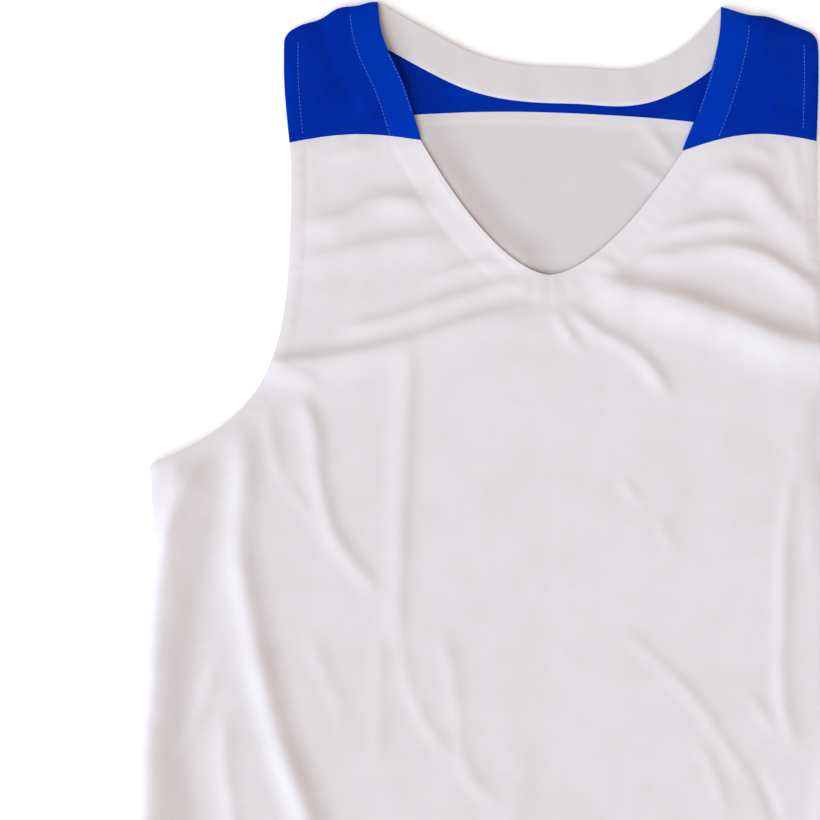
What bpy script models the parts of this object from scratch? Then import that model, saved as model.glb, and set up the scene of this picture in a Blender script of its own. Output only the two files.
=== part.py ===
"""A sleeveless basketball jersey that lies flat on its back, front side up.

The script works in millimetres and writes metres, with +Z up and +Y from the hem to the neck. The
origin is under the middle of the garment, on the surface that it rests on. The back, its yoke and
the back neck facing are flat walls. The front and its two yokes are walls over one height function:
they touch down round the edge and rise between, on an air gap and on the largest folds.
"""

from collections import namedtuple

import bpy
import numpy as np

MM = 0.001

# Cloth and seams.
CLOTH = 1.2             # wall of every piece
SEAM = 0.3              # gap between two pieces that are sewn, or that lie on each other
BACK_TOP = CLOTH        # upper side of the back, which rests on z = 0
FACING_UNDER = BACK_TOP + SEAM
FACING_TOP = FACING_UNDER + CLOTH
FRONT_UNDER = BACK_TOP + SEAM     # lowest the front's inner side comes over the bare back
COVER_UNDER = FACING_TOP + SEAM   # lowest it comes where the facing is in between

# Levels along the length.
TOP = 395.0             # left neck point, the highest place
HEM = -395.0
UNDERARM = 72.0
V_TIP = 204.0

# Half widths of the body: narrowest at the waist, wider at the hem and at the underarm.
WAIST_Y = 20.0
WAIST_HALF = {"left": 277.0, "right": 278.0}
HEM_HALF = 297.0
UNDERARM_HALF = {"left": 280.0, "right": 280.5}

# The armholes: scooped in from the underarm, then nearly straight up, flaring at the shoulder.
ARMHOLE_HALF = {"left": 180.0, "right": 186.5}
ARMHOLE_SCOOP = 37.0    # height over which the scoop closes to 1/e of its depth
SHOULDER_FLARE = {"left": 5.5, "right": 2.0}
FLARE_FROM = 268.0
FLARE_TO = 350.0

# Half widths of the neck opening on the front yokes: seam, middle, bend, neck point.
Side = namedtuple("Side", "y left right")
YOKE_NECK = (
    Side(290.0, 87.0, 93.0),
    Side(335.0, 101.0, 110.0),
    Side(375.0, 117.5, 119.5),
    Side(396.0, 120.0, 120.5),
)

# The back's curves, from the wearer's right (-X) to the wearer's left.
Place = namedtuple("Place", "x y")
BACK_NECKLINE = (
    Place(-120.0, 395.0),
    Place(-90.0, 378.0),
    Place(-50.0, 358.0),
    Place(20.0, 349.0),
    Place(70.0, 351.0),
    Place(100.0, 369.0),
    Place(120.5, 391.5),
)
BACK_YOKE_SEAM = (
    Place(-182.0, 306.0),
    Place(-60.0, 318.0),
    Place(60.0, 315.0),
    Place(187.5, 301.0),
)
FACING_WIDTH = 25.0
SHOULDER_TIP_Y = {"left": 373.0, "right": 371.0}
NECK_POINT_Y = {"left": TOP, "right": 391.5}
SHOULDER_BOW = {"left": 3.5, "right": 3.0}      # how far the shoulder line arches above its chord
SHOULDER_SKEW = {"left": 0.76, "right": 1.9}    # under 1, the arch is highest near the neck

# The front V and the seam between the front and its yokes.
V_HALF = {"left": 90.0, "right": 94.0}     # half width at the yoke seam
V_POWER = 0.6                              # under 1, so that the sides bow out and the tip is soft
YOKE_SEAM_OUTER = {"left": 296.5, "right": 297.5}
YOKE_SEAM_INNER = {"left": 298.0, "right": 291.0}
YOKE_SEAM_BOW = {"left": 5.0, "right": 8.0}

# How the front lies over the back.
AIR = 2.0               # air gap well inside the edge
EDGE_ROLL = 14.0        # distance from the edge over which the front rises by most of that gap
NECK_LIFT = 1.6         # extra rise of the free neck edge
NECK_LIFT_REACH = 26.0
COVER_REACH = 42.0      # how far from the neck edge the facing may lie under the front
COVER_FROM_Y = 300.0    # the facing lies wholly above this level
COVER_RAMP = 12.0       # distance over which the front climbs onto it

# The largest folds: a path bent through its middle point, a rise (a trough is below 0) and a half
# width, at which the fold has fallen to six tenths of its rise.
Fold = namedtuple("Fold", "x0 y0 x1 y1 x2 y2 rise half_width")
FOLDS = (
    Fold(-252.0, 62.0, -268.0, -22.0, -276.0, -170.0, 4.5, 11.0),
    Fold(-236.0, 40.0, -247.0, -40.0, -252.0, -150.0, -2.0, 10.0),
    Fold(-211.0, 92.0, -214.0, -5.0, -170.0, -190.0, 5.0, 13.0),
    Fold(-196.0, 60.0, -186.0, -70.0, -150.0, -170.0, -1.8, 11.0),
    Fold(-186.0, 128.0, -158.0, 90.0, -140.0, 0.0, 2.4, 12.0),
    Fold(-96.0, 160.0, -100.0, 60.0, -108.0, -40.0, 2.0, 11.0),
    Fold(-196.0, 141.0, -110.0, 153.0, -6.0, 182.0, 3.0, 12.0),
    Fold(-148.0, 164.0, -85.0, 181.0, -30.0, 197.0, 1.8, 11.0),
    Fold(-176.0, 235.0, -132.0, 251.0, -84.0, 253.0, 2.0, 11.0),
    Fold(36.0, 198.0, 110.0, 180.0, 204.0, 151.0, 3.4, 12.0),
    Fold(66.0, 215.0, 124.0, 222.0, 190.0, 192.0, 2.4, 11.0),
    Fold(108.0, 266.0, 148.0, 266.0, 174.0, 228.0, 2.0, 11.0),
    Fold(6.0, 185.0, 54.0, 154.0, 88.0, 120.0, 1.8, 11.0),
    Fold(168.0, 110.0, 162.0, 0.0, 158.0, -130.0, 3.0, 13.0),
    Fold(72.0, -56.0, 108.0, -92.0, 150.0, -180.0, 2.4, 12.0),
    Fold(252.0, 66.0, 268.0, -30.0, 262.0, -190.0, 4.0, 12.0),
    Fold(214.0, 96.0, 222.0, -10.0, 196.0, -140.0, 3.6, 13.0),
    Fold(-60.0, -210.0, -30.0, -280.0, -36.0, -380.0, 2.4, 15.0),
    Fold(-236.0, -190.0, -228.0, -270.0, -236.0, -384.0, 3.2, 15.0),
    Fold(96.0, -230.0, 110.0, -300.0, 96.0, -385.0, 2.6, 15.0),
    Fold(232.0, -210.0, 240.0, -290.0, 226.0, -385.0, 3.4, 15.0),
)
FOLD_STEPS = 10

# Rows and columns of the front's grid.
BODY_ROWS = 27          # hem to underarm
CHEST_ROWS = 9          # underarm to the tip of the V
NECK_ROWS = 8           # tip of the V to the yoke seam
HALF_COLUMNS = 18       # outer edge to centre or neck edge
YOKE_ROWS = 7
OUTER_CROWDING = 1.25   # above 1, columns stand closer at the outer edge
TIP_CROWDING = 1.7      # above 1, rows stand closer at the tip of the V and at the underarm

WHITE = (0.78, 0.76, 0.77)
FACING_WHITE = (0.72, 0.69, 0.71)
BLUE = (0.005, 0.030, 0.370)
CLOTH_ROUGHNESS = 0.85

SIGN = {"left": -1.0, "right": 1.0}


def smooth(table, column, at):
    """Value of a table's column at given places: a cubic through the rows, its tangents the slopes there."""
    places = np.array([row[0] for row in table])
    values = np.array([getattr(row, column) for row in table])
    slopes = np.gradient(values, places)
    k = np.clip(np.searchsorted(places, at) - 1, 0, len(places) - 2)
    step = places[k + 1] - places[k]
    t = np.clip((at - places[k]) / step, 0.0, 1.0)
    start = values[k] * (1 + 2 * t) * (1 - t) ** 2 + slopes[k] * step * t * (1 - t) ** 2
    end = values[k + 1] * t * t * (3 - 2 * t) - slopes[k + 1] * step * t * t * (1 - t)
    return start + end


def ease(t):
    """0 to 1 with level ends, for t from 0 to 1."""
    t = np.clip(t, 0.0, 1.0)
    return t * t * (3 - 2 * t)


def outer_half(side, y):
    """Half width of the garment at each y.

    Below the underarm: the waist's, plus a quarter sine wave down to the hem, plus a level-ended ramp
    up to the underarm. Above: the armhole's, plus a scoop that dies away as an exponential, plus a
    level-ended ramp at the shoulder.
    """
    waist, underarm, armhole = WAIST_HALF[side], UNDERARM_HALF[side], ARMHOLE_HALF[side]
    down = np.clip((WAIST_Y - y) / (WAIST_Y - HEM), 0.0, 1.0)
    up = ease((y - WAIST_Y) / (UNDERARM - WAIST_Y))
    body = waist + (HEM_HALF - waist) * np.sin(np.pi / 2 * down) + (underarm - waist) * up
    scoop = (underarm - armhole) * np.exp(-np.clip(y - UNDERARM, 0.0, None) / ARMHOLE_SCOOP)
    flare = SHOULDER_FLARE[side] * ease((y - FLARE_FROM) / (FLARE_TO - FLARE_FROM))
    return np.where(y <= UNDERARM, body, armhole + scoop + flare)


def neck_half(side, y):
    """Half width of the front neck opening: a power curve from the V's tip to the yoke seam, then a table."""
    seam = YOKE_SEAM_INNER[side]
    rise = np.clip((y - V_TIP) / (seam - V_TIP), 0.0, 1.0)
    return np.where(y <= seam, V_HALF[side] * rise ** V_POWER, smooth(YOKE_NECK, side, y))


def shoulder_y(side, x):
    """Height of the shoulder line over |x|: a chord from neck point to tip with a skewed arch."""
    neck = YOKE_NECK[-1]._asdict()[side]
    tip = outer_half(side, np.array(SHOULDER_TIP_Y[side]))
    t = np.clip((np.abs(x) - neck) / (tip - neck), 0.0, 1.0)
    chord = NECK_POINT_Y[side] + (SHOULDER_TIP_Y[side] - NECK_POINT_Y[side]) * t
    arch = SHOULDER_BOW[side] * np.sin(np.pi * t ** SHOULDER_SKEW[side])
    return np.minimum(chord + arch, NECK_POINT_Y[side])


def fold_height(fold, x, y):
    """Height of one fold: a bell across the path, tapered to nothing at both ends."""
    t = np.linspace(0.0, 1.0, FOLD_STEPS + 1)[:, None]
    start, bend, end = (np.array(fold[i:i + 2]) for i in (0, 2, 4))
    middle = 2 * bend - (start + end) / 2     # so that the curve passes through the bend point
    path = (1 - t) ** 2 * start + 2 * t * (1 - t) * middle + t * t * end
    nearest = np.full(np.shape(x), np.inf)
    along = np.zeros(np.shape(x))
    for k in range(FOLD_STEPS):
        run = path[k + 1] - path[k]
        share = np.clip(((x - path[k][0]) * run[0] + (y - path[k][1]) * run[1]) / (run @ run), 0.0, 1.0)
        away = np.hypot(x - path[k][0] - share * run[0], y - path[k][1] - share * run[1])
        along = np.where(away < nearest, (k + share) / FOLD_STEPS, along)
        nearest = np.minimum(away, nearest)
    taper = np.sin(np.pi * np.clip(along, 0.0, 1.0)) ** 0.7
    return fold.rise * taper * np.exp(-0.5 * (nearest / fold.half_width) ** 2)


def front_under(x, y):
    """Height of the front's inner side: an air gap that closes at the edge, a lifted neck edge, folds."""
    side = np.where(x < 0, outer_half("left", y), outer_half("right", y))
    shoulder = np.where(x < 0, shoulder_y("left", x), shoulder_y("right", x))
    neck = np.where(x < 0, neck_half("left", y), neck_half("right", y))
    edge = np.clip(np.minimum.reduce([side - np.abs(x), shoulder - y, y - HEM]), 0.0, None)
    inside = 1 - np.exp(-edge / EDGE_ROLL)
    below_tip = np.clip(V_TIP - y, 0.0, None)
    from_neck = np.hypot(np.clip(np.abs(x) - neck, 0.0, None), below_tip)
    lift = NECK_LIFT * np.exp(-from_neck / NECK_LIFT_REACH) * inside
    cover = ease((COVER_REACH - from_neck) / COVER_RAMP) * ease((y - COVER_FROM_Y) / COVER_RAMP)
    folds = sum(fold_height(fold, x, y) for fold in FOLDS)
    lowest = FRONT_UNDER + (COVER_UNDER - FRONT_UNDER) * cover
    return lowest + np.clip(AIR * inside + lift + folds * inside, 0.0, None)


def coons(bottom, top, left, right):
    """Grid of points between four edge curves: the two ruled blends less the blend of the corners."""
    s = np.linspace(0.0, 1.0, len(bottom))[None, :, None]
    t = np.linspace(0.0, 1.0, len(left))[:, None, None]
    across = (1 - s) * left[:, None] + s * right[:, None]
    along = (1 - t) * bottom[None] + t * top[None]
    corners = (1 - t) * ((1 - s) * bottom[0] + s * bottom[-1]) + t * ((1 - s) * top[0] + s * top[-1])
    return across + along - corners


def grid_faces(rows, columns):
    """Quads of a grid whose points run row by row, anticlockwise from above when x and y both rise."""
    return [
        (r * columns + c, r * columns + c + 1, (r + 1) * columns + c + 1, (r + 1) * columns + c)
        for r in range(rows - 1)
        for c in range(columns - 1)
    ]


def merge_points(points, faces):
    """Make points that stand at one place into one, and renumber the faces."""
    unique, renumber = np.unique(np.round(points, 4), axis=0, return_inverse=True)
    renumber = renumber.ravel()
    return unique, [tuple(int(renumber[k]) for k in face) for face in faces]


def rim_edges(faces):
    """Directed edges that only one face has."""
    edges = {pair for face in faces for pair in zip(face, face[1:] + face[:1])}
    return sorted(pair for pair in edges if pair[::-1] not in edges)


def fabric(name, colour):
    """Principled material of one piece of cloth."""
    material = bpy.data.materials.new(name)
    material.use_nodes = True
    shader = material.node_tree.nodes["Principled BSDF"]
    shader.inputs["Base Color"].default_value = (*colour, 1.0)
    shader.inputs["Roughness"].default_value = CLOTH_ROUGHNESS
    shader.inputs["Metallic"].default_value = 0.0
    return material


def cloth_wall(name, under, faces, colour):
    """Closed wall, one cloth thick, over the points of its underside; faces run anticlockwise from above."""
    count = len(under)
    upper = under + np.array([0.0, 0.0, CLOTH])
    top = [tuple(k + count for k in face) for face in faces]
    bottom = [face[::-1] for face in faces]
    rim = [(a, b, b + count, a + count) for a, b in rim_edges(faces)]
    mesh = bpy.data.meshes.new(name)
    mesh.from_pydata((np.vstack([under, upper]) * MM).tolist(), [], top + bottom + rim)
    mesh.materials.append(fabric(name + "_cloth", colour))
    piece = bpy.data.objects.new(name, mesh)
    bpy.context.scene.collection.objects.link(piece)
    return piece


def flat_wall(name, outline, under_z, colour):
    """Closed wall with flat sides over one outline, which runs anticlockwise."""
    under = np.column_stack([outline, np.full(len(outline), under_z)])
    return cloth_wall(name, under, [tuple(range(len(outline)))], colour)


def at_front_height(plan):
    """Points of the front's underside over plan points."""
    return np.column_stack([plan, front_under(plan[:, 0], plan[:, 1])])


def column_shares():
    """Places of the front's columns, from 0 at the outer edge to 1 at the neck edge or centre."""
    return np.linspace(0.0, 1.0, HALF_COLUMNS + 1) ** OUTER_CROWDING


def yoke_seam(side):
    """Seam below a front yoke, from the armhole to the neck edge: a chord with an arch."""
    t = column_shares()
    outer_y, inner_y = YOKE_SEAM_OUTER[side], YOKE_SEAM_INNER[side]
    outer_x, inner_x = outer_half(side, np.array(outer_y)), V_HALF[side]
    x = outer_x + (inner_x - outer_x) * t
    y = outer_y + (inner_y - outer_y) * t + YOKE_SEAM_BOW[side] * np.sin(np.pi * t)
    return np.column_stack([SIGN[side] * x, y])


def front_levels(side, edge):
    """Levels of the front's rows at its outer or inner edge; the V's tip and the underarm are rows."""
    last = YOKE_SEAM_OUTER[side] if edge == "outer" else YOKE_SEAM_INNER[side]
    body = np.linspace(HEM, UNDERARM, BODY_ROWS + 1)[:-1]
    chest = UNDERARM + (V_TIP - UNDERARM) * np.linspace(0.0, 1.0, CHEST_ROWS + 1)[:-1] ** TIP_CROWDING
    neck = V_TIP + (last - V_TIP) * np.linspace(0.0, 1.0, NECK_ROWS + 1) ** TIP_CROWDING
    return np.concatenate([body, chest, neck])


def front_half(side):
    """Plan grid of half the front, its rows from the hem up and its columns from the outer edge in."""
    outer_y = front_levels(side, "outer")
    inner_y = front_levels(side, "inner")
    outer = np.column_stack([SIGN[side] * outer_half(side, outer_y), outer_y])
    inner = np.column_stack([SIGN[side] * neck_half(side, inner_y), inner_y])
    s = column_shares()[None, :, None]
    grid = outer[:, None] + (inner - outer)[:, None] * s
    reach = ease((outer_y - V_TIP) / (YOKE_SEAM_OUTER[side] - V_TIP))[:, None]
    grid[:, :, 1] += reach * YOKE_SEAM_BOW[side] * np.sin(np.pi * s[:, :, 0])
    return grid if side == "left" else grid[:, ::-1]


def build_front_panel():
    """The front in one piece: two half grids that share the centre line below the V."""
    halves = [front_half("left"), front_half("right")]
    rows, columns = halves[0].shape[:2]
    faces = grid_faces(rows, columns)
    second = [tuple(k + rows * columns for k in face) for face in faces]
    plan = np.vstack([half.reshape(-1, 2) for half in halves])
    plan, faces = merge_points(plan, faces + second)
    cloth_wall("front_panel", at_front_height(plan), faces, WHITE)


def build_front_yoke(name, side):
    """One front yoke, from the yoke seam to the shoulder and from the armhole to the neck edge."""
    seam = yoke_seam(side) + np.array([0.0, SEAM])
    t = np.linspace(0.0, 1.0, YOKE_ROWS + 1)
    outer_y = seam[0][1] + (SHOULDER_TIP_Y[side] - seam[0][1]) * t
    inner_y = seam[-1][1] + (NECK_POINT_Y[side] - seam[-1][1]) * t
    outer = np.column_stack([SIGN[side] * outer_half(side, outer_y), outer_y])
    inner = np.column_stack([SIGN[side] * neck_half(side, inner_y), inner_y])
    top_x = outer[-1][0] + (inner[-1][0] - outer[-1][0]) * column_shares()
    top = np.column_stack([top_x, shoulder_y(side, top_x)])
    top[[0, -1]] = outer[-1], inner[-1]
    outer[0], inner[0] = seam[0], seam[-1]
    grid = coons(seam, top, outer, inner)
    if side == "right":
        grid = grid[:, ::-1]
    cloth_wall(name, at_front_height(grid.reshape(-1, 2)), grid_faces(*grid.shape[:2]), BLUE)


def side_run(side, low, high, step):
    """Outer edge of one side between two levels, from the low one up."""
    y = np.linspace(low, high, max(2, round((high - low) / step) + 1))
    return np.column_stack([SIGN[side] * outer_half(side, y), y])


def back_seam(count):
    """Seam between the back and its yoke, from -X to +X."""
    x = np.linspace(BACK_YOKE_SEAM[0].x, BACK_YOKE_SEAM[-1].x, count)
    return np.column_stack([x, smooth(BACK_YOKE_SEAM, "y", x)])


def back_neckline(count):
    """Neck edge of the back yoke, from -X to +X."""
    x = np.linspace(BACK_NECKLINE[0].x, BACK_NECKLINE[-1].x, count)
    return np.column_stack([x, smooth(BACK_NECKLINE, "y", x)])


def build_back_panel():
    """The back below its yoke, flat on the surface."""
    seam = back_seam(17)
    right = np.vstack([
        side_run("right", HEM, UNDERARM, 26.0),
        side_run("right", UNDERARM, seam[-1][1] - SEAM, 8.0)[1:],
    ])
    left = np.vstack([
        side_run("left", HEM, UNDERARM, 26.0),
        side_run("left", UNDERARM, seam[0][1] - SEAM, 8.0)[1:],
    ])
    top = seam[1:-1][::-1] - np.array([0.0, SEAM])
    flat_wall("back_panel", np.vstack([right, top, left[::-1]]), 0.0, WHITE)


def build_back_yoke():
    """The back yoke, from armhole to armhole, with the two shoulders and the back neckline."""
    seam = back_seam(17)
    right = side_run("right", seam[-1][1], SHOULDER_TIP_Y["right"], 9.0)
    left = side_run("left", seam[0][1], SHOULDER_TIP_Y["left"], 9.0)
    neck = back_neckline(33)
    right_x = np.linspace(right[-1][0], neck[-1][0], 9)[1:-1]
    left_x = np.linspace(neck[0][0], left[-1][0], 9)[1:-1]
    outline = np.vstack([
        seam[1:-1],
        right,
        np.column_stack([right_x, shoulder_y("right", right_x)]),
        neck[::-1],
        np.column_stack([left_x, shoulder_y("left", left_x)]),
        left[::-1],
    ])
    flat_wall("back_yoke", outline, 0.0, BLUE)


def build_back_neck_facing():
    """The facing: the back neckline's points and the same moved in by its width, square to the edge."""
    edge = back_neckline(33)
    run = np.gradient(edge, axis=0)
    square = np.column_stack([run[:, 1], -run[:, 0]]) / np.hypot(run[:, 0], run[:, 1])[:, None]
    inner = edge + FACING_WIDTH * square
    under = np.column_stack([np.vstack([inner, edge]), np.full(2 * len(edge), FACING_UNDER)])
    cloth_wall("back_neck_facing", under, grid_faces(2, len(edge)), FACING_WHITE)


def main():
    """Clear the scene and build the six pieces."""
    for thing in list(bpy.data.objects):
        bpy.data.objects.remove(thing, do_unlink=True)
    build_back_panel()
    build_back_yoke()
    build_back_neck_facing()
    build_front_panel()
    build_front_yoke("front_yoke_right", "left")
    build_front_yoke("front_yoke_left", "right")


main()
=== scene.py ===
"""Looks of a sleeveless basketball jersey that lies flat on its back, front side up.

Sizes are in millimetres and are turned into metres by MM where a mesh is made. +Y runs from the hem
to the neck and +Z up. "Right" and "left" in piece names are the wearer's; a half of the cut is named
by the side of the X axis that it lies on.
"""

import logging
from dataclasses import dataclass
from enum import Enum
from typing import Callable, Union

import bpy
import numpy as np
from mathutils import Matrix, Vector


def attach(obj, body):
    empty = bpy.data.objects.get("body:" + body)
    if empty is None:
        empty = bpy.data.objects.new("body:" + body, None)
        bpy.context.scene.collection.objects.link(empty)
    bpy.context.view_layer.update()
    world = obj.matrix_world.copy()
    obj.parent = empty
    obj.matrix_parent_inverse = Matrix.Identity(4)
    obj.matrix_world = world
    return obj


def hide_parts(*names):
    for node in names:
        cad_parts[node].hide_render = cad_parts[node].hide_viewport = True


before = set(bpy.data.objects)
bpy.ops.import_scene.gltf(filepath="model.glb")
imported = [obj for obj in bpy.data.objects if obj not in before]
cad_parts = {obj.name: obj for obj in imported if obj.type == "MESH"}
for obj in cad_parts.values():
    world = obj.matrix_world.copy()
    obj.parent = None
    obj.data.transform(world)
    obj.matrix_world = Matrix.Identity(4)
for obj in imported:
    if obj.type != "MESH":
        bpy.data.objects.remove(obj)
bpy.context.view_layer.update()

MM = 0.001
log = logging.getLogger("jersey")

Array = np.ndarray
Height = Callable[[Array, Array], Array]

# Levels along the length, and the walls of the cloth.
HEM = -395.0
UNDERARM = 72.0
V_TIP = 204.0
WALL = 1.0              # cloth of every panel
LAP = 0.25              # clearance between two panels that lie on each other
ALLOWANCE_RISE = 0.3    # step of the back over its seam allowance, and of the yoke that meets it


# ---------------------------------------------------------------- curves and surfaces

def ease(t: Array) -> Array:
    """Level-ended ramp, 3t^2 - 2t^3, from 0 at t = 0 to 1 at t = 1.

    Args:
        t: Places on the ramp; those outside 0 to 1 are held at its ends.

    Returns:
        Values from 0 to 1.
    """
    t = np.clip(t, 0.0, 1.0)
    return t * t * (3 - 2 * t)


def bell(away: Array, width: float) -> Array:
    """Bell curve of a distance: 1 at 0, and six tenths one width away."""
    return np.exp(-0.5 * (away / width) ** 2)


def through(places: Array, values: Array, at: Array) -> Array:
    """Cubic through rows of values, whose slopes at the rows are the mean slopes beside them.

    Args:
        places: Rising places of the rows.
        values: Value of each row, one number or one point.
        at: Places to read.

    Returns:
        Values there.
    """
    places, values = np.asarray(places, float), np.asarray(values, float)
    slopes = np.gradient(values, places, axis=0)
    k = np.clip(np.searchsorted(places, at) - 1, 0, len(places) - 2)
    step = places[k + 1] - places[k]
    t = np.clip((at - places[k]) / step, 0.0, 1.0)
    if values.ndim > 1:
        step, t = step[..., None], t[..., None]
    start = values[k] * (1 + 2 * t) * (1 - t) ** 2 + slopes[k] * step * t * (1 - t) ** 2
    end = values[k + 1] * t * t * (3 - 2 * t) - slopes[k + 1] * step * t * t * (1 - t)
    return start + end


def lengths(route: Array) -> Array:
    """Distance along a polyline from its first point to each of its points."""
    return np.concatenate([[0.0], np.cumsum(np.hypot(*np.diff(route, axis=0).T))])


def nearest(route: Array, x: Array, y: Array) -> tuple[Array, Array]:
    """Closest place of a polyline to each point.

    Each segment gives its closest place by projection, held to its ends, and the closest of those
    is kept.

    Args:
        route: Points of the polyline.
        x: Plan places.
        y: Plan places.

    Returns:
        Distance, above 0 on the left of the route's direction, and the share of its length.
    """
    best = np.full(np.shape(x), np.inf)
    share = np.zeros(np.shape(x))
    reach = lengths(route)
    for k in range(len(route) - 1):
        run = route[k + 1] - route[k]
        span = run @ run
        if span == 0.0:
            continue
        px, py = x - route[k][0], y - route[k][1]
        t = np.clip((px * run[0] + py * run[1]) / span, 0.0, 1.0)
        away = np.hypot(px - t * run[0], py - t * run[1])
        closer = away < np.abs(best)
        best = np.where(closer, np.where(run[0] * py - run[1] * px >= 0.0, away, -away), best)
        share = np.where(closer, (reach[k] + t * (reach[k + 1] - reach[k])) / reach[-1], share)
    return best, share


def moved_in(route: Array, distance: float) -> Array:
    """Move a polyline sideways, square to itself.

    Args:
        route: Its points.
        distance: How far to the left of its direction.

    Returns:
        The moved points.
    """
    run = np.gradient(route, axis=0)
    square = np.column_stack([-run[:, 1], run[:, 0]]) / np.hypot(run[:, 0], run[:, 1])[:, None]
    return route + distance * square


def coons(bottom: Array, top: Array, start: Array, end: Array) -> Array:
    """Grid between four edge curves: the two ruled blends less the blend of the four corners.

    Args:
        bottom: First row.
        top: Last row.
        start: First column.
        end: Last column.

    Returns:
        Points as rows x columns x 2.
    """
    s = np.linspace(0.0, 1.0, len(bottom))[None, :, None]
    t = np.linspace(0.0, 1.0, len(start))[:, None, None]
    across = (1 - s) * start[:, None] + s * end[:, None]
    along = (1 - t) * bottom[None] + t * top[None]
    corners = (1 - t) * ((1 - s) * bottom[0] + s * bottom[-1]) + t * ((1 - s) * top[0] + s * top[-1])
    return across + along - corners


def rows_between(*stops: tuple[float, int]) -> Array:
    """Levels through named stops, evenly spaced between them.

    Args:
        stops: Each is a level and the number of rows that lead up to it.

    Returns:
        Rising levels.
    """
    runs = [np.linspace(a[0], b[0], b[1] + 1)[1:] for a, b in zip(stops, stops[1:])]
    return np.concatenate([[stops[0][0]], *runs])


@dataclass(frozen=True)
class Ripple:
    """Low undulations of cloth that was smoothed by hand: a sum of sine waves in seeded directions."""

    rise: float
    shortest: float
    longest: float
    count: int
    seed: int

    def __call__(self, x: Array, y: Array) -> Array:
        """Height, where each wave's is in proportion to its length and a slow sine bends the waves.

        Args:
            x: Plan places.
            y: Plan places.

        Returns:
            Height there.
        """
        draw = np.random.default_rng(self.seed)
        total = np.zeros(np.shape(x))
        for _ in range(self.count):
            length = draw.uniform(self.shortest, self.longest)
            angle, phase, bend = draw.uniform(0.0, 2 * np.pi, 3)
            along = x * np.cos(angle) + y * np.sin(angle)
            across = y * np.cos(angle) - x * np.sin(angle)
            warp = 0.9 * np.sin(across / (0.6 * length) + bend)
            total += length / self.longest * np.sin(2 * np.pi * along / length + warp + phase)
        return self.rise * total / np.sqrt(self.count)


@dataclass(frozen=True)
class Crease:
    """One soft ridge, or a trough where its rise is below 0, along a smooth route.

    Attributes:
        route: Points that the crest passes through.
        rise: Height at the route's start.
        left: Distance at which it has fallen to six tenths, on the left of the route's direction.
        right: The same on its right.
        end_rise: Height at the route's end, if not the same.
        end_right: The distance on the right at the route's end, if not the same.
        fade: Length over which it rises at the route's start, at most SHARE of the route.
    """

    route: tuple[tuple[float, float], ...]
    rise: float
    left: float
    right: float
    end_rise: Union[float, None] = None
    end_right: Union[float, None] = None
    fade: float = 30.0

    STEPS = 7           # straight runs between two points of the route
    TAPER = 30.0        # length over which the route's end dies away, at most SHARE of the route
    SHARE = 0.45
    UNEVEN = 0.1        # part of the height that wanders along the route
    WANDER = 11.0       # length over which that turns by one radian
    REACH = 3.2         # distances beyond which a crease is left out

    def __call__(self, x: Array, y: Array) -> Array:
        """Height: a bell across the route with its own width on each side, tapered at both ends.

        Args:
            x: Plan places.
            y: Plan places.

        Returns:
            Height there, 0 away from the route.
        """
        points = np.array(self.route)
        knots = lengths(points)
        count = self.STEPS * (len(points) - 1) + 1
        path = through(knots, points, np.linspace(0.0, knots[-1], count))
        last_right = self.right if self.end_right is None else self.end_right
        reach = self.REACH * max(self.left, self.right, last_right)
        (low_x, low_y), (high_x, high_y) = path.min(0) - reach, path.max(0) + reach
        near = (x > low_x) & (x < high_x) & (y > low_y) & (y < high_y)
        height = np.zeros(np.shape(x))
        if near.any():
            away, share = nearest(path, x[near], y[near])
            width = np.where(away > 0.0, self.left, self.right + (last_right - self.right) * share)
            last = self.rise if self.end_rise is None else self.end_rise
            rise = self.rise + (last - self.rise) * share
            wander = 1 + self.UNEVEN * np.sin(share * knots[-1] / self.WANDER + points.sum())
            start, end = (min(self.SHARE, length / knots[-1]) for length in (self.fade, self.TAPER))
            taper = ease(share / start) * ease((1 - share) / end)
            height[near] = rise * wander * taper * bell(away, width)
        return height


# ---------------------------------------------------------------- the cut

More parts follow.
